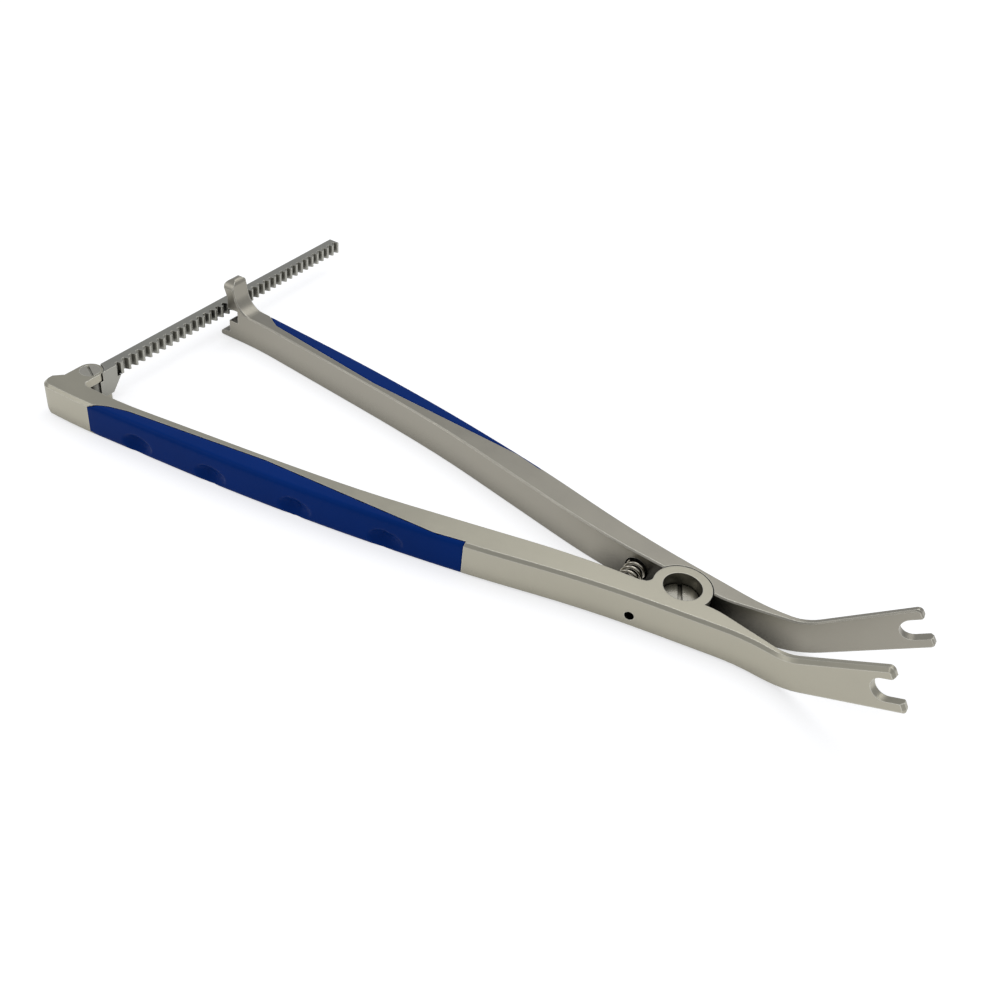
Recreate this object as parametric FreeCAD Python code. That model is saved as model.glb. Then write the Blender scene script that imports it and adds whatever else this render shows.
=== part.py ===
import FreeCAD, Part
import math
import os
from FreeCAD import Vector

os.makedirs("parts", exist_ok=True)

# Frame: millimetres, pivot axis on Z at the origin, underside at z = 0, jaws toward +X, near arm at -Y.

# Arms
arm_height = 11.0
edge_chamfer_outer = 0.9
edge_chamfer_inner = 0.4
# Plan corners of the near arm's two sides as x, distance from the middle, and rounding radius
outer_plan = [(-180.8, 37.8, 180.0), (-125.9, 33.1, 680.0), (-90.0, 28.2, 620.0), (-56.3, 22.0, 500.0),
              (-18.2, 12.7, 320.0), (23.0, 7.1, 50.0)]
inner_plan = [(-171.0, 30.4, 140.0), (-111.7, 22.8, 800.0), (-86.8, 19.0, 350.0), (-34.4, 7.3, 240.0),
              (-20.0, 5.1, 160.0), (10.8, 2.2, 20.0)]
plan_end_x = 70.0
softened_from_x = -160.0
softened_to_x = 0.0

# Jaw blades: start of the straight blade on its outer face, and its two slopes
blade_x = 40.0
blade_y = 10.41
blade_z = 4.4
blade_spread = 11.06
blade_rise = 28.4
blade_thickness = 2.45
blade_depth_root = 9.9
blade_depth_tip = 12.4
blade_length = 26.0
upper_prong_setback = 1.5
elbow_round_low = 25.0
elbow_round_high = 12.0
prong_round = 1.3

# Rod notch in each blade
rod_diameter = 6.0
rod_clearance = 0.2
notch_depth = 8.1
notch_centre = 6.3
notch_flare = 1.2

# Pivot: the near arm's ear lies on the far arm's ear
ear_radius = 8.0
ear_clearance = 0.3
ear_web_round = 2.2
web_line = 4.2
lap_level = 4.2
lap_gap = 0.1
counterbore_radius = 5.3
counterbore_depth = 5.4
screw_head_radius = 5.1
screw_head_height = 1.6
screw_seat_gap = 0.05
screw_shank_radius = 2.5
screw_running = 0.08
screw_slot_width = 1.3
screw_slot_depth = 0.8
screw_slot_turn = 25.0
screw_tip_z = 0.0

# Handle spring in its two pockets
spring_x = -15.0
spring_z = 5.4
spring_radius = 2.7
spring_wire = 0.9
spring_half_turns = 14
spring_wire_sides = 8
pocket_radius = 3.6
pocket_face = 7.6
spring_end_gap = 0.05

# Cross hole beside the pivot
cross_hole_x = -8.9
cross_hole_z = 4.0
cross_hole_radius = 1.35

# Grips: their inner boundary in plan from each arm's own start, and the steel rib that keys them
near_grip_start = [(-180.0, 41.0), (-177.6, 37.8), (-171.2, 34.2), (-164.8, 32.3)]
far_grip_start = [(-173.4, 41.0), (-169.6, 36.0), (-164.0, 32.6)]
grip_plan = [(-119.0, 25.6), (-64.0, 22.2), (-54.8, 20.0)]
grip_rib_plan = [(-160.0, 33.7), (-118.0, 29.3), (-85.0, 24.5)]
grip_rib_low = 3.2
grip_rib_cover = 3.2
dimple_places = [-159.0, -133.0, -105.0, -77.0]
dimple_level = 3.2
dimple_radius = 7.5
dimple_depth = 0.9

# Near head: a fork for the ratchet bar's hinge
hinge_x = -189.2
hinge_y = -24.3
fork_radius = 3.9
fork_floor_y = -30.6
tongue_radius = 3.4
lower_ear_top = 2.4
upper_ear_height = 2.6
lower_ear_end_y = -19.6
lower_ear_corner = 1.5
head_back_x = hinge_x - 7.1
head_neck_x = hinge_x - 3.8
head_corner = 3.6
head_under_round = 7.0
head_inner_round = 1.0
hinge_shank_radius = 1.6
hinge_head_radius = 3.1
hinge_head_depth = 1.5
hinge_running = 0.08
hinge_slot_width = 0.8
hinge_slot_depth = 0.6

# Ratchet bar
bar_back_x = hinge_x
bar_depth = 4.1
bar_height = 4.1
bar_over_arm = 0.3
bar_high = arm_height + bar_over_arm
bar_low = bar_high - bar_height
bar_end_y = 93.7
bar_root_y = -16.0
bar_root_slope = 3.6
bar_side_gap = 0.1
bar_shoulder_gap = 0.35
tooth_pitch = 3.015
tooth_first = -16.5
last_tooth_margin = 1.2
tooth_depth = 1.3
tooth_long_flank = 1.0
tooth_short_flank = 0.8
tooth_floor_half = 0.35

# Far head: an open slot for the bar, a thumb horn above and a lip below
far_end_x = hinge_x + 6.7
far_flare = 2.2
far_flare_round = 40.0
slot_gap = 0.2
slot_floor_x = far_end_x + 3.7
pawl_height = 1.2
pawl_lead = 0.4
pawl_half_width = 0.8
horn_height = 10.3
horn_neck_height = 4.4
horn_foot_x = far_end_x + 8.9
horn_swell_x = far_end_x + 5.1
horn_swell_height = 1.5
horn_front_x = far_end_x + 1.9
horn_back_x = far_end_x - 2.1
horn_middle = 34.8
horn_half_width = 4.8
horn_round = 3.6
lip_x = far_end_x - 3.9
lip_top = 2.6


def vec(x, y, z=0.0):
    return Vector(x, y, z)


def line(a, b):
    return Part.makeLine(a, b)


def arc(a, middle, b):
    return Part.Arc(a, middle, b).toShape()


def rounded_corner(before, corner, after, radius):
    to_before = (before - corner).normalize()
    to_after = (after - corner).normalize()
    half = to_before.getAngle(to_after) / 2
    reach = radius / math.tan(half)
    middle = (to_before + to_after).normalize()
    gap = radius / math.sin(half) - radius
    return corner + to_before * reach, corner + middle * gap, corner + to_after * reach


# A chain of straight lines whose inner corners are rounded
def rounded_path(points, radii):
    edges = []
    start = points[0]
    for before, corner, after, radius in zip(points, points[1:], points[2:], radii[1:]):
        first, middle, last = rounded_corner(before, corner, after, radius)
        edges.append(line(start, first))
        edges.append(arc(first, middle, last))
        start = last
    edges.append(line(start, points[-1]))
    return edges


def prism(edges, direction):
    return Part.Face(Part.Wire(edges)).extrude(direction)


def polygon_prism(points, direction):
    return Part.Face(Part.makePolygon(points + [points[0]])).extrude(direction)


def box(x0, x1, y0, y1, z0, z1):
    return Part.makeBox(x1 - x0, y1 - y0, z1 - z0, vec(x0, y0, z0))


def upright(radius, x, y, z0, z1):
    return Part.makeCylinder(radius, z1 - z0, vec(x, y, z0), vec(0, 0, 1))


def mirrored(shape):
    return shape.mirror(vec(0, 0, 0), vec(0, 1, 0))


# Directions of the near blade: along it, across it and out of its face
spread = math.radians(blade_spread)
rise = math.radians(blade_rise)
along = vec(math.cos(rise) * math.cos(spread), -math.cos(rise) * math.sin(spread), math.sin(rise))
across = vec(-math.sin(rise) * math.cos(spread), math.sin(rise) * math.sin(spread), math.cos(rise))
outward = vec(-math.sin(spread), -math.cos(spread), 0)
plan_slope = math.tan(spread)


def on_blade(s, t, out=0.0):
    start = vec(blade_x, -blade_y, blade_z)
    return start + along * s + across * t + outward * out


def blade_outer_y(x):
    return -blade_y - (x - blade_x) * plan_slope


def blade_inner_y(x):
    return blade_outer_y(x) + blade_thickness / math.cos(spread)


# Plan outline shared by both arms: the outer side runs toward the tip, the inner side back to the head
def plan_edges_outer(start_point, first_round):
    tip = vec(plan_end_x, blade_outer_y(plan_end_x))
    corners = [vec(x, -y) for x, y, radius in outer_plan]
    radii = [first_round] + [radius for x, y, radius in outer_plan[1:]]
    return rounded_path([start_point] + corners + [tip], [0] + radii + [0])


def plan_edges_inner(end_point):
    tip = vec(plan_end_x, blade_inner_y(plan_end_x))
    corners = [vec(x, -y) for x, y, radius in reversed(inner_plan)]
    radii = [radius for x, y, radius in reversed(inner_plan)]
    return rounded_path([tip] + corners + [end_point], [0] + radii + [0])


def plan_end_cap():
    return line(vec(plan_end_x, blade_outer_y(plan_end_x)), vec(plan_end_x, blade_inner_y(plan_end_x)))


def near_plan():
    y_out = -outer_plan[0][1]
    y_in = -inner_plan[0][1]
    bulge = head_corner * (1 - math.sqrt(0.5))
    corner_start = vec(head_back_x + head_corner, y_out)
    corner_mid = vec(head_back_x + bulge, y_out + bulge)
    corner_end = vec(head_back_x, y_out + head_corner)
    back_inner = vec(head_neck_x, y_in)
    outer = plan_edges_outer(corner_start, outer_plan[0][2])
    inner = plan_edges_inner(back_inner)
    end_cap = plan_end_cap()
    head = [line(back_inner, corner_end), arc(corner_end, corner_mid, corner_start)]
    return outer + [end_cap] + inner + head


def far_plan():
    start = vec(lip_x - 2.0, -outer_plan[0][1] - far_flare)
    end = vec(lip_x - 2.0, -inner_plan[0][1])
    outer = plan_edges_outer(start, far_flare_round)
    inner = plan_edges_inner(end)
    end_cap = plan_end_cap()
    return outer + [end_cap] + inner + [line(end, start)]


# Side outline in the XZ plane, as seen across the arms
def flat(point):
    return vec(point.x, 0, point.z)


def jaw_outline():
    low_slope = math.tan(rise) / math.cos(spread)
    low_elbow = vec(blade_x - blade_z / low_slope, 0, 0)
    low_tip = flat(on_blade(blade_length, 0))
    high_tip = flat(on_blade(blade_length - upper_prong_setback, blade_depth_tip))
    high_root = flat(on_blade(-4.0, blade_depth_root))
    fall = (high_tip.z - high_root.z) / (high_tip.x - high_root.x)
    high_elbow = vec(high_root.x + (arm_height - high_root.z) / fall, 0, arm_height)
    a = rounded_corner(vec(0, 0, 0), low_elbow, low_tip, elbow_round_low)
    b = rounded_corner(low_elbow, low_tip, high_tip, prong_round)
    c = rounded_corner(low_tip, high_tip, high_elbow, prong_round)
    d = rounded_corner(high_tip, high_elbow, vec(0, 0, arm_height), elbow_round_high)
    edges = [arc(*a), line(a[2], b[0]), arc(*b), line(b[2], c[0]), arc(*c), line(c[2], d[0]), arc(*d)]
    return edges, a[0], d[2]


def near_side():
    edges, low_start, high_end = jaw_outline()
    high_back = vec(head_back_x - 2, 0, arm_height)
    low_back = vec(head_back_x - 2, 0, 0)
    return edges + [line(high_end, high_back), line(high_back, low_back), line(low_back, low_start)]


def far_side():
    edges, low_start, high_end = jaw_outline()
    slot_low = bar_low - slot_gap
    slot_high = bar_high + slot_gap
    horn_top = arm_height + horn_height
    horn_neck = arm_height + horn_neck_height
    foot = vec(horn_foot_x, 0, arm_height)
    swell = vec(horn_swell_x, 0, arm_height + horn_swell_height)
    front = vec(horn_front_x + 0.9, 0, horn_neck + 1.0)
    front_top = vec(horn_front_x, 0, horn_top - 1.4)
    crest = vec((horn_front_x + horn_back_x) / 2, 0, horn_top)
    back_top = vec(horn_back_x, 0, horn_top - 1.6)
    neck_back = vec(far_end_x - 0.4, 0, horn_neck)
    back_low = vec(far_end_x - 0.4, 0, slot_high)
    floor_high = vec(slot_floor_x, 0, slot_high)
    floor_low = vec(slot_floor_x, 0, slot_low)
    end_high = vec(far_end_x, 0, slot_low)
    end_low = vec(far_end_x, 0, lip_top + 0.4)
    lip_root = vec(far_end_x - 0.4, 0, lip_top)
    lip_high = vec(lip_x + 0.5, 0, lip_top - 0.5)
    lip_nose = vec(lip_x, 0, lip_top / 2)
    lip_low = vec(lip_x + 1.0, 0, 0)
    horn = [line(high_end, foot), arc(foot, swell, front), line(front, front_top),
            arc(front_top, crest, back_top), line(back_top, neck_back), line(neck_back, back_low)]
    slot = [line(back_low, floor_high), line(floor_high, floor_low), line(floor_low, end_high),
            line(end_high, end_low), line(end_low, lip_root), line(lip_root, lip_high)]
    lip = [arc(lip_high, lip_nose, lip_low), line(lip_low, low_start)]
    return edges + horn + slot + lip


def blank(plan, side):
    flat_form = prism(plan, vec(0, 0, 60)).translated(vec(0, 0, -10))
    side_form = prism([edge.translated(vec(0, -60, 0)) for edge in side], vec(0, 60, 0))
    return flat_form.common(side_form)


# Notch for the rod, square to the blade
def notch_tool():
    r = rod_diameter / 2 + rod_clearance
    notch_bottom = blade_length - notch_depth
    centre = notch_bottom + r
    low = notch_centre - r
    high = notch_centre + r
    low_mouth = blade_length + 0.3
    high_mouth = blade_length - upper_prong_setback + 0.3
    far_out = blade_length + 6.0
    f = notch_flare

    def p(s, t):
        return on_blade(s, t, -10.0)

    edges = [line(p(centre, low), p(low_mouth - f, low)),
             arc(p(low_mouth - f, low), p(low_mouth - 0.29 * f, low - 0.29 * f), p(low_mouth, low - f)),
             line(p(low_mouth, low - f), p(far_out, low - f)),
             line(p(far_out, low - f), p(far_out, high + f)),
             line(p(far_out, high + f), p(high_mouth, high + f)),
             arc(p(high_mouth, high + f), p(high_mouth - 0.29 * f, high + 0.29 * f), p(high_mouth - f, high)),
             line(p(high_mouth - f, high), p(centre, high)),
             arc(p(centre, high), p(notch_bottom, notch_centre), p(centre, low))]
    return prism(edges, outward * 20.0)


# The ear and the recess that the other arm's ear turns in
def ear(z0, z1):
    disc = upright(ear_radius, 0, 0, z0, z1)
    web_y = -web_line + ear_web_round
    hold = ear_radius + ear_web_round
    web_x = -math.sqrt(hold * hold - web_y * web_y)
    web = box(web_x, -2.0, -ear_radius, web_y, z0, z1)
    web = web.cut(upright(ear_web_round, web_x, web_y, z0 - 1, z1 + 1))
    return disc.fuse(web)


def recess(z0, z1):
    return upright(ear_radius + ear_clearance, 0, 0, z0, z1)


def spring_pocket():
    return Part.makeCylinder(pocket_radius, pocket_face, vec(spring_x, -pocket_face, spring_z), vec(0, 1, 0))


def cross_hole():
    return Part.makeCylinder(cross_hole_radius, 20, vec(cross_hole_x, -22.5, cross_hole_z), vec(0, 1, 0))


# Edges along the arm, level with its top or its underside
def long_edges(body, outer_side):
    found = []
    for edge in body.Edges:
        mid = edge.valueAt((edge.FirstParameter + edge.LastParameter) / 2)
        off_level = min(abs(mid.z), abs(mid.z - arm_height))
        if off_level > 0.01 or edge.BoundBox.ZLength > 0.01:
            continue
        if not softened_from_x < mid.x < softened_to_x:
            continue
        if (mid.y < outer_face_y(mid.x) + 3.0) == outer_side:
            found.append(edge)
    return found


def outer_face_y(x):
    for (x0, y0, r0), (x1, y1, r1) in zip(outer_plan, outer_plan[1:]):
        if x0 <= x <= x1:
            return -(y0 + (y1 - y0) * (x - x0) / (x1 - x0))
    return -outer_plan[0][1]


def soften(body):
    body = body.Solids[0]
    body = body.makeChamfer(edge_chamfer_outer, long_edges(body, True))
    return body.makeChamfer(edge_chamfer_inner, long_edges(body, False))


# Grip: everything of the blank outside a curved boundary, less the rib that keys it
def grip_zone(grip_start):
    points = [vec(x, -y, -5.0) for x, y in grip_start + grip_plan]
    points += [vec(points[-1].x, -45.0, -5.0), vec(points[0].x, -45.0, -5.0)]
    return polygon_prism(points, vec(0, 0, 30))


def grip_rib():
    points = [vec(x, -y, grip_rib_low) for x, y in grip_rib_plan]
    points += [points[-1] + vec(0, 4.0), points[0] + vec(0, 4.0)]
    return polygon_prism(points, vec(0, 0, arm_height - grip_rib_cover - grip_rib_low))


def grip_filling(body, grip_start):
    return body.common(grip_zone(grip_start)).cut(grip_rib())


def dimple(x):
    y = outer_face_y(x) - dimple_radius + dimple_depth
    return Part.makeSphere(dimple_radius, vec(x, y, dimple_level))


def dimpled(grip):
    for x in dimple_places:
        grip = grip.cut(dimple(x))
    return grip


# Fork at the near head, with its two ears and the hinge hole
def fork_lug():
    y_in = -inner_plan[0][1]
    front = hinge_x + fork_radius
    back = hinge_x - fork_radius
    bulge = head_inner_round * (1 - math.sqrt(0.5))
    deep = y_in - 3.0
    tip = vec(hinge_x, hinge_y + fork_radius)
    corner_a = vec(front, y_in + head_inner_round)
    corner_b = vec(front + bulge, y_in + bulge)
    corner_c = vec(front + head_inner_round, y_in)
    edges = [line(vec(back, deep), vec(back, hinge_y)), arc(vec(back, hinge_y), tip, vec(front, hinge_y)),
             line(vec(front, hinge_y), corner_a), arc(corner_a, corner_b, corner_c),
             line(corner_c, vec(corner_c.x, deep)), line(vec(corner_c.x, deep), vec(back, deep))]
    return prism(edges, vec(0, 0, arm_height))


def lower_ear():
    back = hinge_x - fork_radius
    front = hinge_x + fork_radius
    block = box(back, front, fork_floor_y, lower_ear_end_y, 0, lower_ear_top)
    corners = [edge for edge in block.Edges
               if edge.BoundBox.ZLength > 1.0 and edge.BoundBox.YMin > lower_ear_end_y - 0.01]
    return block.makeFillet(lower_ear_corner, corners)


def fork_slot():
    return box(hinge_x - 9, hinge_x + 9, fork_floor_y, hinge_y + 9, lower_ear_top, arm_height - upper_ear_height)


def hinge_screw_form():
    seat = arm_height - hinge_head_depth
    shank = upright(hinge_shank_radius, hinge_x, hinge_y, 0, seat)
    head = Part.makeCone(hinge_shank_radius, hinge_head_radius, hinge_head_depth, vec(hinge_x, hinge_y, seat))
    return shank.fuse(head)


def head_under_trim():
    x0 = head_back_x - 2
    x1 = head_back_x + head_under_round
    corner = box(x0, x1, -45, -20, -2, head_under_round)
    start = vec(x1, -46, head_under_round)
    return corner.cut(Part.makeCylinder(head_under_round, 30, start, vec(0, 1, 0)))


def near_arm_and_grip():
    body = soften(blank(near_plan(), near_side()))
    grip = grip_filling(body, near_grip_start)
    body = body.cut(grip)
    body = body.fuse(ear(lap_level + lap_gap, arm_height))
    body = body.cut(recess(-1, lap_level + lap_gap))
    body = body.cut(upright(counterbore_radius, 0, 0, arm_height - counterbore_depth, arm_height + 1))
    body = body.cut(upright(screw_shank_radius + screw_running, 0, 0, -1, arm_height))
    body = body.cut(spring_pocket()).cut(cross_hole()).cut(notch_tool())
    body = body.cut(head_under_trim())
    body = body.fuse(fork_lug()).cut(fork_slot()).fuse(lower_ear()).cut(hinge_screw_form())
    return body.removeSplitter(), dimpled(grip)


# Far head: rounded horn and the pawl inside the slot, drawn on the near side and mirrored with the arm
def horn_trim():
    x0 = horn_back_x - 4
    horn_top = arm_height + horn_height
    level = horn_top - horn_round
    high = horn_top + 3
    left = vec(x0, -horn_middle - horn_half_width, level)
    peak = vec(x0, -horn_middle, horn_top + 0.1)
    right = vec(x0, -horn_middle + horn_half_width, level)
    edges = [arc(left, peak, right), line(right, vec(x0, right.y, high)),
             line(vec(x0, right.y, high), vec(x0, left.y, high)), line(vec(x0, left.y, high), left)]
    return prism(edges, vec(12.0, 0, 0))


def pawl():
    low = bar_low - slot_gap
    valley = round((horn_middle - tooth_first) / tooth_pitch)
    pawl_y = tooth_first + valley * tooth_pitch - pawl_lead
    points = [vec(slot_floor_x + 0.4, -pawl_y - pawl_half_width, low), vec(slot_floor_x - pawl_height, -pawl_y, low),
              vec(slot_floor_x + 0.4, -pawl_y + pawl_half_width, low)]
    return polygon_prism(points, vec(0, 0, bar_height + 2 * slot_gap))


def far_arm_and_grip():
    body = soften(blank(far_plan(), far_side()))
    grip = grip_filling(body, far_grip_start)
    body = body.cut(grip).cut(horn_trim()).fuse(pawl())
    body = body.fuse(ear(0, lap_level))
    body = body.cut(recess(lap_level, arm_height + 1))
    body = body.cut(upright(screw_shank_radius, 0, 0, -1, arm_height))
    body = body.cut(spring_pocket()).cut(notch_tool())
    return mirrored(body.removeSplitter()), mirrored(dimpled(grip))


# Pivot screw: slotted head sunk in the near ear, shank threaded into the far ear
def pivot_screw():
    seat = arm_height - counterbore_depth + screw_seat_gap
    top = seat + screw_head_height
    head = upright(screw_head_radius, 0, 0, seat, top)
    shank = upright(screw_shank_radius, 0, 0, screw_tip_z, seat)
    slot = box(-screw_slot_width / 2, screw_slot_width / 2, -8, 8, top - screw_slot_depth, top + 1)
    slot.rotate(vec(0, 0, 0), vec(0, 0, 1), screw_slot_turn)
    return head.fuse(shank).cut(slot)


def hinge_screw():
    form = hinge_screw_form()
    half = hinge_slot_width / 2
    slot = box(hinge_x - half, hinge_x + half, hinge_y - 5, hinge_y + 5, arm_height - hinge_slot_depth, arm_height + 1)
    return form.cut(slot)


# Coil of half turns, each a plane half circle leaning along the axis
def half_turn(start_y, side, rise_y):
    start = vec(spring_x + side * spring_radius, start_y, spring_z)
    end = vec(spring_x - side * spring_radius, start_y + rise_y, spring_z)
    centre = (start + end) * 0.5
    axis = (end - start).cross(vec(0, 0, side))
    section = []
    for n in range(spring_wire_sides + 1):
        turn = 2 * math.pi * (n + 0.5) / spring_wire_sides
        section.append(start + vec(math.cos(turn), math.sin(turn)) * (spring_wire / 2))
    return Part.Face(Part.makePolygon(section)).revolve(centre, axis, 180)


def handle_spring():
    reach = 2 * (pocket_face - spring_end_gap) - spring_wire
    rise_y = reach / spring_half_turns
    coil = half_turn(-reach / 2, 1, rise_y)
    for n in range(1, spring_half_turns):
        side = 1 if n % 2 == 0 else -1
        coil = coil.fuse(half_turn(-reach / 2 + n * rise_y, side, rise_y))
    return coil


# Ratchet bar: tongue in the fork, a tall root behind it and a row of teeth along its distal face
def toothed_outline():
    front = bar_back_x + bar_depth
    chamfer = 0.5
    points = [vec(bar_back_x, hinge_y, bar_low), vec(front, hinge_y, bar_low)]
    valleys = int((bar_end_y - last_tooth_margin - tooth_first) / tooth_pitch) + 1
    for n in range(valleys):
        y = tooth_first + n * tooth_pitch
        points.append(vec(front, y - tooth_long_flank, bar_low))
        points.append(vec(front - tooth_depth, y - tooth_floor_half, bar_low))
        points.append(vec(front - tooth_depth, y + tooth_floor_half, bar_low))
        points.append(vec(front, y + tooth_short_flank, bar_low))
    points.append(vec(front - chamfer, bar_end_y, bar_low))
    points.append(vec(bar_back_x + chamfer, bar_end_y, bar_low))
    points.append(vec(bar_back_x, bar_end_y - chamfer, bar_low))
    return points


def ratchet_bar():
    low = lower_ear_top + bar_side_gap
    high = arm_height - upper_ear_height - bar_side_gap
    bar = polygon_prism(toothed_outline(), vec(0, 0, bar_height))
    bar = bar.cut(upright(fork_radius + bar_shoulder_gap, hinge_x, hinge_y, high, bar_high + 1))
    root = [vec(bar_back_x, hinge_y, low), vec(bar_back_x, bar_root_y - bar_root_slope, low),
            vec(bar_back_x, bar_root_y, bar_low), vec(bar_back_x, hinge_y, bar_low)]
    root = polygon_prism(root, vec(bar_depth, 0, 0))
    tongue = upright(tongue_radius, hinge_x, hinge_y, low, high)
    bar = bar.fuse(root).fuse(tongue)
    bore = upright(hinge_shank_radius + hinge_running, hinge_x, hinge_y, 0, arm_height)
    return bar.cut(bore).removeSplitter()


near_arm, near_grip = near_arm_and_grip()
far_arm, far_grip = far_arm_and_grip()
pieces = {"near_arm": near_arm, "far_arm": far_arm, "near_grip": near_grip, "far_grip": far_grip,
          "pivot_screw": pivot_screw(), "handle_spring": handle_spring(),
          "ratchet_bar": ratchet_bar(), "hinge_screw": hinge_screw()}
for name, shape in pieces.items():
    shape.exportStep("parts/" + name + ".step")
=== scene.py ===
import math
import bmesh
import bpy
from mathutils import Matrix, Vector


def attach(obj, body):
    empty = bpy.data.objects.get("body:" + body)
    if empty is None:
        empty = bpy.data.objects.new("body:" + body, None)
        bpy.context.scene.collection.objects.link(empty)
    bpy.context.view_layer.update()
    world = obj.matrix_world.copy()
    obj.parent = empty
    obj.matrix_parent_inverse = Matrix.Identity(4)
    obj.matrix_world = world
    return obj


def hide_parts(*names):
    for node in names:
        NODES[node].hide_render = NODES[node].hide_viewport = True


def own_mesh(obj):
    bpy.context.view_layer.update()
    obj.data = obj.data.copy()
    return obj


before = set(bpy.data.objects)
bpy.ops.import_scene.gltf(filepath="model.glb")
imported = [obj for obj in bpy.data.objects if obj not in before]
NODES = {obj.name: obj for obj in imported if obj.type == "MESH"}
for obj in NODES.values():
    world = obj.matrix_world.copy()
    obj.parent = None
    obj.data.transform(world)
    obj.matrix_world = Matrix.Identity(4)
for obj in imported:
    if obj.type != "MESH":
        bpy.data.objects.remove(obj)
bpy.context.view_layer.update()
MM = 0.001

# Camera: place, heading and lens worked out from the arms, the round counterbore and the even teeth
EYE = (55.32, -221.48, 210.66)
HEADING_DEG = 26.79
PITCH_DEG = 38.74
ROLL_DEG = 7.29
LENS_MM = 41.0

# Handle spring, in millimetres: coil axis along Y between its two pockets
SPRING_X = -15.0
SPRING_Z = 5.4
SPRING_RADIUS = 2.72
SPRING_WIRE = 0.95
SPRING_END = 7.1
SPRING_FAR_END = 5.3
SPRING_TURNS = 6.1

# Ratchet bar, in millimetres: a straight bar along Y with rounded valleys cut in its jaw side
BAR_BACK_X = -189.2
BAR_DEPTH = 4.1
BAR_LOW = 7.2
BAR_HEIGHT = 4.1
BAR_END_Y = 93.7
BAR_CUT_Y = -14.99
TOOTH_PITCH = 3.015
FIRST_VALLEY_Y = -16.5
LAST_VALLEY_Y = 92.04
VALLEY_DEPTH = 1.6
VALLEY_FLOOR_HALF = 0.42
VALLEY_MOUTH_HALF = 1.28
STEPS_PER_TOOTH = 20

# Hinge screw: its axis and how far its slot is turned
HINGE_X = -189.2
HINGE_Y = -24.3
HINGE_SLOT_TURN = 61.0

# Steel: the colour of the painted shade in its nooks and of its edges, rubbed bright and painted with a
# highlight, and the size of its mottle and grain in mm.
# The grain is drawn coarser than real blasting so that it shows.
PAINTED_NOOK_SHADE = "#1d1c1a"
EDGE_POLISH_AND_HIGHLIGHT = "#dcdacf"
MOTTLE_MM = 14.0
GRAIN_MM = 0.4
SATIN_SPREAD = 0.04
BUMP_DEPTH = 0.00004

# Silicone: the size of its clouding and of its skin's texture, in mm
CLOUD_MM = 26.0
SKIN_MM = 0.7

# Finger scoops in each grip, in millimetres
SCOOP_PLACES = (-159.0, -133.0, -105.0, -77.0)
SCOOP_LEVEL = 3.4
SCOOP_HALF_LENGTH = 5.2
SCOOP_HALF_HEIGHT = 3.2
SCOOP_DEPTH = 1.5

# Grip remesh, in millimetres, and how much its normal must face outwards to be pressed in
GRIP_VOXEL = 0.42
FACING_START = 0.3
FACING_RANGE = 0.4


def linear(hex_code):
    """An sRGB hex colour as linear RGBA."""
    parts = [int(hex_code[i:i + 2], 16) / 255 for i in (1, 3, 5)]
    return [c / 12.92 if c <= 0.04045 else ((c + 0.055) / 1.055) ** 2.4 for c in parts] + [1.0]


def add(tree, kind, settings=None, **sockets):
    """Adds a node; settings are its own properties, sockets its inputs: a value or another node's output."""
    node = tree.nodes.new(kind)
    for name, value in (settings or {}).items():
        setattr(node, name, value)
    for name, value in sockets.items():
        key = int(name[1:]) if name[0] == "i" and name[1:].isdigit() else name.replace("_", " ")
        if isinstance(value, bpy.types.NodeSocket):
            tree.links.new(value, node.inputs[key])
        else:
            node.inputs[key].default_value = value
    return node


def new_material(name):
    material = bpy.data.materials.new(name)
    material.use_nodes = True
    tree = material.node_tree
    tree.nodes.clear()
    return material, tree


def finish_material(tree, shader):
    add(tree, "ShaderNodeOutputMaterial", Surface=shader)


def per_mm(size_mm):
    """Noise scale that repeats about once in that many millimetres, on coordinates in metres."""
    return 1000.0 / size_mm


def ramp(tree, value, from_low, from_high, to_low, to_high):
    """Carries a value from one range to another, smoothly and clamped at its ends."""
    node = add(tree, "ShaderNodeMapRange", {"interpolation_type": "SMOOTHSTEP"}, Value=value,
               From_Min=from_low, From_Max=from_high, To_Min=to_low, To_Max=to_high)
    return node.outputs[0]


def colour_mix(tree, share, first, second):
    """Mixes two colours by a share from 0 to 1."""
    return add(tree, "ShaderNodeMix", {"data_type": "RGBA"}, i0=share, i6=first, i7=second).outputs[2]


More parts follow.
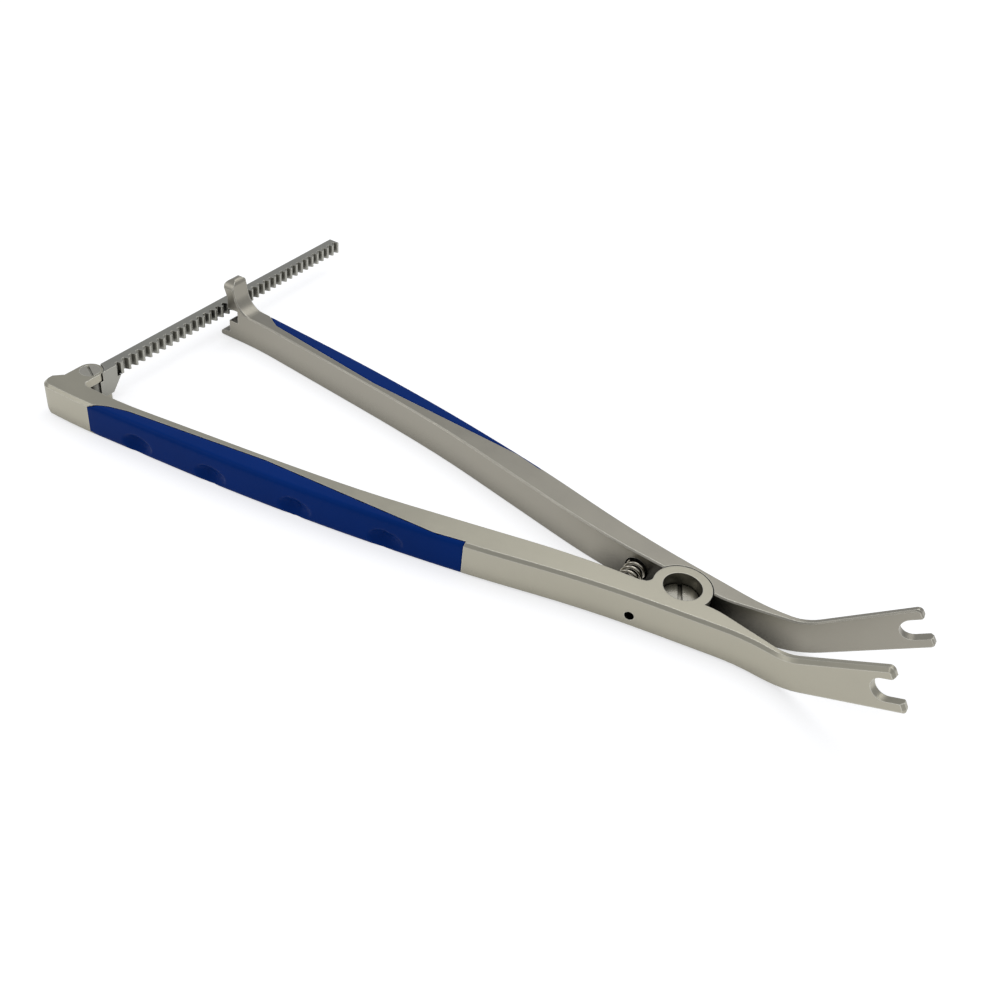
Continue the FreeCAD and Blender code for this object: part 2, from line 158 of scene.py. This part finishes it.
def blasted_steel(name, light, dark, rough, edge_mm, nook_mm):
    """Bead-blasted stainless steel.

    To the eye an even grey satin: fine grain, wide soft reflections, painted shade in its nooks, edges
    rubbed bright and painted with a highlight.
    """
    material, tree = new_material(name)
    place = add(tree, "ShaderNodeTexCoord").outputs["Object"]
    mottle = add(tree, "ShaderNodeTexNoise", Vector=place, Scale=per_mm(MOTTLE_MM), Detail=5.0,
                 Roughness=0.6)
    grain = add(tree, "ShaderNodeTexNoise", Vector=place, Scale=per_mm(GRAIN_MM), Detail=2.0, Roughness=0.5)
    edge = add(tree, "ShaderNodeBevel", {"samples": 6}, Radius=edge_mm * MM)
    flat = add(tree, "ShaderNodeNewGeometry").outputs["Normal"]
    turned = add(tree, "ShaderNodeVectorMath", {"operation": "DOT_PRODUCT"}, i0=edge.outputs["Normal"],
                 i1=flat)
    # Painted highlight, partly real rubbing: the colour is lightened along edges where the bevel normal
    # turns away from the flat normal
    rubbed_and_highlit = ramp(tree, turned.outputs["Value"], 0.995, 0.93, 0.0, 1.0)
    shade = colour_mix(tree, mottle.outputs["Fac"], linear(dark), linear(light))
    bright = colour_mix(tree, rubbed_and_highlit, shade, linear(EDGE_POLISH_AND_HIGHLIGHT))
    # Painted shade: the base colour darkens to near black where ambient occlusion finds nooks, creases and
    # gaps between parts
    nook = add(tree, "ShaderNodeAmbientOcclusion", {"samples": 6}, Distance=nook_mm * MM).outputs["AO"]
    nook_shaded = colour_mix(tree, ramp(tree, nook, 0.12, 0.72, 0.0, 1.0), linear(PAINTED_NOOK_SHADE), bright)
    satin = ramp(tree, mottle.outputs["Fac"], 0.3, 0.7, rough - SATIN_SPREAD, rough + SATIN_SPREAD)
    bump = add(tree, "ShaderNodeBump", Height=grain.outputs["Fac"], Strength=0.2, Distance=BUMP_DEPTH,
               Normal=edge.outputs["Normal"])
    shader = add(tree, "ShaderNodeBsdfPrincipled", Base_Color=nook_shaded, Metallic=1.0, Roughness=satin,
                 Normal=bump.outputs["Normal"])
    finish_material(tree, shader.outputs["BSDF"])
    return material


def silicone(name, colour, deep):
    """Moulded silicone rubber.

    To the eye a deep blue with a faint soft sheen and slightly uneven clouding.
    """
    material, tree = new_material(name)
    place = add(tree, "ShaderNodeTexCoord").outputs["Object"]
    cloud = add(tree, "ShaderNodeTexNoise", Vector=place, Scale=per_mm(CLOUD_MM), Detail=3.0)
    skin = add(tree, "ShaderNodeTexNoise", Vector=place, Scale=per_mm(SKIN_MM), Detail=2.0)
    shade = colour_mix(tree, cloud.outputs["Fac"], linear(deep), linear(colour))
    bump = add(tree, "ShaderNodeBump", Height=skin.outputs["Fac"], Strength=0.15, Distance=BUMP_DEPTH)
    shader = add(tree, "ShaderNodeBsdfPrincipled", Base_Color=shade, Roughness=0.38, IOR=1.41,
                 Normal=bump.outputs["Normal"])
    shader.inputs["Specular IOR Level"].default_value = 0.06
    finish_material(tree, shader.outputs["BSDF"])
    return material


def floor_paper(name):
    """Seamless white paper: nearly white to the eye and to reflections, keeping only a faint shadow."""
    material, tree = new_material(name)
    path = add(tree, "ShaderNodeLightPath")
    seen = add(tree, "ShaderNodeMath", {"operation": "MAXIMUM"}, i0=path.outputs["Is Camera Ray"],
               i1=path.outputs["Is Glossy Ray"])
    glow = add(tree, "ShaderNodeEmission", Color=linear("#ffffff"), Strength=0.66)
    lit = add(tree, "ShaderNodeBsdfDiffuse", Color=linear("#c2c2c4"))
    both = add(tree, "ShaderNodeAddShader", i0=lit.outputs[0], i1=glow.outputs[0])
    plain = add(tree, "ShaderNodeBsdfDiffuse", Color=linear("#e6e6e6"))
    mix = add(tree, "ShaderNodeMixShader", i0=seen.outputs[0], i1=plain.outputs[0], i2=both.outputs[0])
    finish_material(tree, mix.outputs[0])
    return material


# Both arms are one steel, shaded a little apart to stand in for the photograph's uneven light
NEAR_STEEL = blasted_steel("blasted stainless steel near arm", "#b2ae9e", "#a4a092", 0.36, 0.30, 10.0)
FAR_STEEL = blasted_steel("blasted stainless steel far arm", "#a19d91", "#949086", 0.36, 0.30, 13.0)
BAR_STEEL = blasted_steel("satin bar steel", "#a3a299", "#92918a", 0.34, 0.18, 12.0)
SCREW_STEEL = blasted_steel("turned screw steel", "#b9b6ab", "#a6a399", 0.28, 0.15, 5.0)
SPRING_STEEL = blasted_steel("drawn spring wire", "#c4bfb2", "#a8a295", 0.22, 0.05, 4.0)
GRIP_BLUE = silicone("blue moulded silicone", "#022f7b", "#022562")

FINISHES = {"near_arm": NEAR_STEEL, "far_arm": FAR_STEEL, "near_grip": GRIP_BLUE, "far_grip": GRIP_BLUE,
            "pivot_screw": SCREW_STEEL, "hinge_screw": SCREW_STEEL, "ratchet_bar": BAR_STEEL,
            "handle_spring": SPRING_STEEL}


def dress(node_name):
    mesh = NODES[node_name].data
    mesh.materials.clear()
    mesh.materials.append(FINISHES[node_name])


def new_piece(name, mesh):
    mesh.name = name
    piece = bpy.data.objects.new(name, mesh)
    bpy.context.scene.collection.objects.link(piece)
    return piece


def merged_copy(node_name):
    """A node's own triangles with their doubles joined, as an editable mesh."""
    shape = bmesh.new()
    shape.from_mesh(NODES[node_name].data)
    bmesh.ops.remove_doubles(shape, verts=shape.verts, dist=0.002 * MM)
    return shape


def baked(piece):
    """The piece's mesh with its modifiers applied."""
    graph = bpy.context.evaluated_depsgraph_get()
    mesh = bpy.data.meshes.new_from_object(piece.evaluated_get(graph), depsgraph=graph)
    piece.modifiers.clear()
    old = piece.data
    piece.data = mesh
    bpy.data.meshes.remove(old)
    return piece


def smooth_shading(mesh):
    for face in mesh.polygons:
        face.use_smooth = True


def scoop_depth(x, z):
    """Depth of the finger scoops at a point of the grip's outer face, all in millimetres."""
    depth = 0.0
    for middle in SCOOP_PLACES:
        reach = ((x - middle) / SCOOP_HALF_LENGTH) ** 2 + ((z - SCOOP_LEVEL) / SCOOP_HALF_HEIGHT) ** 2
        if reach < 1.0:
            depth = max(depth, SCOOP_DEPTH * (1.0 - reach) ** 0.7)
    return depth


def soft_grip(node_name, outward):
    """A grip remeshed fine, rounded by smoothing and pressed in at its finger scoops."""
    shape = merged_copy(node_name)
    mesh = bpy.data.meshes.new(node_name + "_soft")
    shape.to_mesh(mesh)
    shape.free()
    piece = new_piece(node_name + "_soft", mesh)
    remesh = piece.modifiers.new("even faces", "REMESH")
    remesh.mode = "VOXEL"
    remesh.voxel_size = GRIP_VOXEL * MM
    smooth = piece.modifiers.new("rounding", "SMOOTH")
    smooth.factor = 0.5
    smooth.iterations = 4
    baked(piece)
    for vertex in piece.data.vertices:
        facing = vertex.normal.y * outward
        if facing > FACING_START:
            press = scoop_depth(vertex.co.x / MM, vertex.co.z / MM)
            vertex.co.y -= outward * press * min(1.0, (facing - FACING_START) / FACING_RANGE) * MM
    settle = piece.modifiers.new("settle", "SMOOTH")
    settle.factor = 0.5
    settle.iterations = 2
    baked(piece)
    smooth_shading(piece.data)
    piece.data.materials.clear()
    piece.data.materials.append(GRIP_BLUE)
    return piece


def geometry_tree(name, inputs):
    tree = bpy.data.node_groups.new(name, "GeometryNodeTree")
    for label, kind in inputs:
        tree.interface.new_socket(name=label, in_out="INPUT", socket_type=kind)
    tree.interface.new_socket(name="Geometry", in_out="OUTPUT", socket_type="NodeSocketGeometry")
    return tree, add(tree, "NodeGroupInput").outputs


def grown(name, tree, values):
    """A piece made by a geometry tree: its named inputs are set, and the result is kept as a plain mesh."""
    piece = new_piece(name, bpy.data.meshes.new(name))
    modifier = piece.modifiers.new(name, "NODES")
    modifier.node_group = tree
    for item in tree.interface.items_tree:
        if item.in_out == "INPUT" and item.name in values:
            modifier[item.identifier] = values[item.name]
    return baked(piece)


def coil_tree():
    """Wire wound on a straight axis: a spiral curve swept by a round section."""
    tree, given = geometry_tree("wound wire", [
        ("Radius", "NodeSocketFloat"), ("Length", "NodeSocketFloat"), ("Turns", "NodeSocketFloat"),
        ("Wire radius", "NodeSocketFloat"), ("Finish", "NodeSocketMaterial")])
    spiral = add(tree, "GeometryNodeCurveSpiral", Resolution=40, Rotations=given["Turns"],
                 Start_Radius=given["Radius"], End_Radius=given["Radius"], Height=given["Length"])
    ring = add(tree, "GeometryNodeCurvePrimitiveCircle", Resolution=14, Radius=given["Wire radius"])
    sweep = add(tree, "GeometryNodeCurveToMesh", Curve=spiral.outputs[0], Profile_Curve=ring.outputs[0])
    sweep.inputs["Fill Caps"].default_value = True
    real = add(tree, "GeometryNodeRealizeInstances", Geometry=sweep.outputs[0])
    coat = add(tree, "GeometryNodeSetMaterial", Geometry=real.outputs[0], Material=given["Finish"])
    add(tree, "NodeGroupOutput", Geometry=coat.outputs[0])
    return tree


def handle_spring():
    values = {"Radius": SPRING_RADIUS * MM, "Length": (SPRING_END + SPRING_FAR_END) * MM,
              "Turns": SPRING_TURNS, "Wire radius": SPRING_WIRE / 2 * MM, "Finish": SPRING_STEEL}
    coil = grown("wound_spring", coil_tree(), values)
    lay = Matrix.Rotation(math.radians(-90), 4, "X")
    shift = Matrix.Translation(Vector((SPRING_X, -SPRING_END, SPRING_Z)) * MM)
    coil.data.transform(shift @ lay @ Matrix.Scale(-1.0, 4, (1.0, 0.0, 0.0)))
    coil.data.flip_normals()
    smooth_shading(coil.data)
    return coil


def turned_screw(node_name, middle, degrees):
    """The screw's own shape turned on its axis, as tightening left its slot."""
    shape = merged_copy(node_name)
    mesh = bpy.data.meshes.new(node_name + "_turned")
    shape.to_mesh(mesh)
    shape.free()
    there = Matrix.Translation(Vector(middle) * MM)
    mesh.transform(there @ Matrix.Rotation(math.radians(degrees), 4, "Z") @ there.inverted())
    mesh.materials.clear()
    mesh.materials.append(SCREW_STEEL)
    return new_piece(node_name + "_turned", mesh)


def maths(tree, operation, first, second=0.0):
    return add(tree, "ShaderNodeMath", {"operation": operation}, i0=first, i1=second).outputs[0]


def toothed_tree():
    """A straight bar, its jaw side cut with even rounded valleys: a grid pulled in and then raised."""
    tree, given = geometry_tree("toothed bar", [
        ("Start", "NodeSocketFloat"), ("End", "NodeSocketFloat"), ("Depth", "NodeSocketFloat"),
        ("Height", "NodeSocketFloat"), ("Pitch", "NodeSocketFloat"), ("First", "NodeSocketFloat"),
        ("Last", "NodeSocketFloat"), ("Valley depth", "NodeSocketFloat"), ("Floor half", "NodeSocketFloat"),
        ("Mouth half", "NodeSocketFloat"), ("Rows", "NodeSocketInt"), ("Finish", "NodeSocketMaterial")])
    length = maths(tree, "SUBTRACT", given["End"], given["Start"])
    middle = maths(tree, "MULTIPLY", maths(tree, "ADD", given["End"], given["Start"]), 0.5)
    grid = add(tree, "GeometryNodeMeshGrid", Size_X=given["Depth"], Size_Y=length, Vertices_X=5,
               Vertices_Y=given["Rows"])
    place = add(tree, "ShaderNodeCombineXYZ", X=maths(tree, "MULTIPLY", given["Depth"], 0.5), Y=middle)
    moved = add(tree, "GeometryNodeTransform", Geometry=grid.outputs[0], Translation=place.outputs[0])
    point = add(tree, "GeometryNodeInputPosition").outputs[0]
    here = add(tree, "ShaderNodeSeparateXYZ", Vector=point).outputs
    along = maths(tree, "DIVIDE", maths(tree, "SUBTRACT", here["Y"], given["First"]), given["Pitch"])
    span = maths(tree, "SUBTRACT", given["Last"], given["First"])
    near = maths(tree, "MINIMUM", maths(tree, "ROUND", along), maths(tree, "DIVIDE", span, given["Pitch"]))
    steps = maths(tree, "SUBTRACT", along, near)
    off = maths(tree, "ABSOLUTE", maths(tree, "MULTIPLY", steps, given["Pitch"]))
    cut = ramp(tree, off, given["Floor half"], given["Mouth half"], given["Valley depth"], 0.0)
    share = maths(tree, "POWER", maths(tree, "DIVIDE", here["X"], given["Depth"]), 3.0)
    pull = maths(tree, "MULTIPLY", maths(tree, "MULTIPLY", cut, share), -1.0)
    offset = add(tree, "ShaderNodeCombineXYZ", X=pull)
    waved = add(tree, "GeometryNodeSetPosition", Geometry=moved.outputs[0], Offset=offset.outputs[0])
    raised = add(tree, "GeometryNodeExtrudeMesh", Mesh=waved.outputs[0])
    raised.inputs["Individual"].default_value = False
    raised.inputs["Offset"].default_value = (0.0, 0.0, 1.0)
    tree.links.new(given["Height"], raised.inputs["Offset Scale"])
    under = add(tree, "GeometryNodeFlipFaces", Mesh=waved.outputs[0])
    whole = add(tree, "GeometryNodeJoinGeometry", Geometry=raised.outputs[0])
    tree.links.new(under.outputs[0], whole.inputs[0])
    sealed = add(tree, "GeometryNodeMergeByDistance", Geometry=whole.outputs[0], Distance=0.001 * MM)
    real = add(tree, "GeometryNodeRealizeInstances", Geometry=sealed.outputs[0])
    coat = add(tree, "GeometryNodeSetMaterial", Geometry=real.outputs[0], Material=given["Finish"])
    add(tree, "NodeGroupOutput", Geometry=coat.outputs[0])
    return tree


def ratchet_bar():
    """The toothed length from the tree, joined to the node's own root and hinge eye."""
    rows = round((BAR_END_Y - BAR_CUT_Y) / TOOTH_PITCH * STEPS_PER_TOOTH) + 1
    values = {"Start": BAR_CUT_Y * MM, "End": BAR_END_Y * MM, "Depth": BAR_DEPTH * MM,
              "Height": BAR_HEIGHT * MM, "Pitch": TOOTH_PITCH * MM,
              "First": FIRST_VALLEY_Y * MM, "Last": LAST_VALLEY_Y * MM,
              "Valley depth": VALLEY_DEPTH * MM, "Floor half": VALLEY_FLOOR_HALF * MM,
              "Mouth half": VALLEY_MOUTH_HALF * MM, "Rows": rows, "Finish": BAR_STEEL}
    bar = grown("toothed_bar", toothed_tree(), values)
    bar.data.transform(Matrix.Translation(Vector((BAR_BACK_X, 0.0, BAR_LOW)) * MM))
    shape = merged_copy("ratchet_bar")
    everything = shape.verts[:] + shape.edges[:] + shape.faces[:]
    cut = bmesh.ops.bisect_plane(shape, geom=everything, plane_co=(0.0, BAR_CUT_Y * MM, 0.0),
                                 plane_no=(0.0, 1.0, 0.0), clear_outer=True)
    rim = [edge for edge in cut["geom_cut"] if isinstance(edge, bmesh.types.BMEdge)]
    bmesh.ops.holes_fill(shape, edges=rim)
    shape.from_mesh(bar.data)
    for face in shape.faces:
        face.material_index = 0
    shape.to_mesh(bar.data)
    shape.free()
    bar.data.materials.clear()
    bar.data.materials.append(BAR_STEEL)
    return bar


def floor():
    half = 6.0
    mesh = bpy.data.meshes.new("floor")
    corners = [(-half, -half, 0), (half, -half, 0), (half, half, 0), (-half, half, 0)]
    mesh.from_pydata(corners, [], [(0, 1, 2, 3)])
    mesh.materials.append(floor_paper("white paper"))
    new_piece("floor", mesh)


def camera():
    yaw, pitch, roll = (math.radians(a) for a in (HEADING_DEG, PITCH_DEG, ROLL_DEG))
    ahead = Vector((-math.sin(yaw) * math.cos(pitch), math.cos(yaw) * math.cos(pitch), -math.sin(pitch)))
    level = Vector((math.cos(yaw), math.sin(yaw), 0))
    up = level.cross(ahead)
    right = math.cos(roll) * level + math.sin(roll) * up
    top = -math.sin(roll) * level + math.cos(roll) * up
    turn = Matrix((right, top, -ahead)).transposed().to_4x4()
    data = bpy.data.cameras.new("camera")
    data.sensor_width = 36.0
    data.lens = LENS_MM
    data.clip_start = 0.01
    data.clip_end = 20.0
    eye = bpy.data.objects.new("camera", data)
    eye.matrix_world = Matrix.Translation(Vector(EYE) * MM) @ turn
    bpy.context.scene.collection.objects.link(eye)
    bpy.context.scene.camera = eye


def softbox(name, place, aim, size, power):
    data = bpy.data.lights.new(name, "AREA")
    data.shape = "SQUARE"
    data.size = size
    data.energy = power
    lamp = bpy.data.objects.new(name, data)
    lamp.location = place
    lamp.rotation_euler = (Vector(aim) - Vector(place)).to_track_quat("-Z", "Y").to_euler()
    bpy.context.scene.collection.objects.link(lamp)


def daylight():
    world = bpy.data.worlds.new("studio")
    world.use_nodes = True
    tree = world.node_tree
    tree.nodes.clear()
    sky = add(tree, "ShaderNodeBackground", Color=linear("#f4f6fa"), Strength=0.62)
    white = add(tree, "ShaderNodeBackground", Color=linear("#ffffff"), Strength=1.0)
    seen = add(tree, "ShaderNodeLightPath").outputs["Is Camera Ray"]
    both = add(tree, "ShaderNodeMixShader", i0=seen, i1=sky.outputs[0], i2=white.outputs[0])
    add(tree, "ShaderNodeOutputWorld", Surface=both.outputs[0])
    bpy.context.scene.world = world


for name in FINISHES:
    dress(name)

for grip, body, side in (("near_grip", "near_side", -1.0), ("far_grip", "far_side", 1.0)):
    soft = soft_grip(grip, side)
    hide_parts(grip)
    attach(soft, body)

coil = handle_spring()
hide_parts("handle_spring")
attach(coil, "near_side")
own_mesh(coil)

bar = ratchet_bar()
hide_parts("ratchet_bar")
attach(bar, "bar")

screw = turned_screw("hinge_screw", (HINGE_X, HINGE_Y, 0.0), HINGE_SLOT_TURN)
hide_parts("hinge_screw")
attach(screw, "near_side")

floor()
camera()
daylight()
softbox("over", (-0.05, 0.40, 0.90), (-0.04, 0.0, 0.0), 0.7, 2.6)
softbox("edge light", (-0.80, -0.62, 0.72), (-0.06, 0.0, 0.0), 0.34, 0.8)

scene = bpy.context.scene
scene.view_settings.view_transform = "Standard"
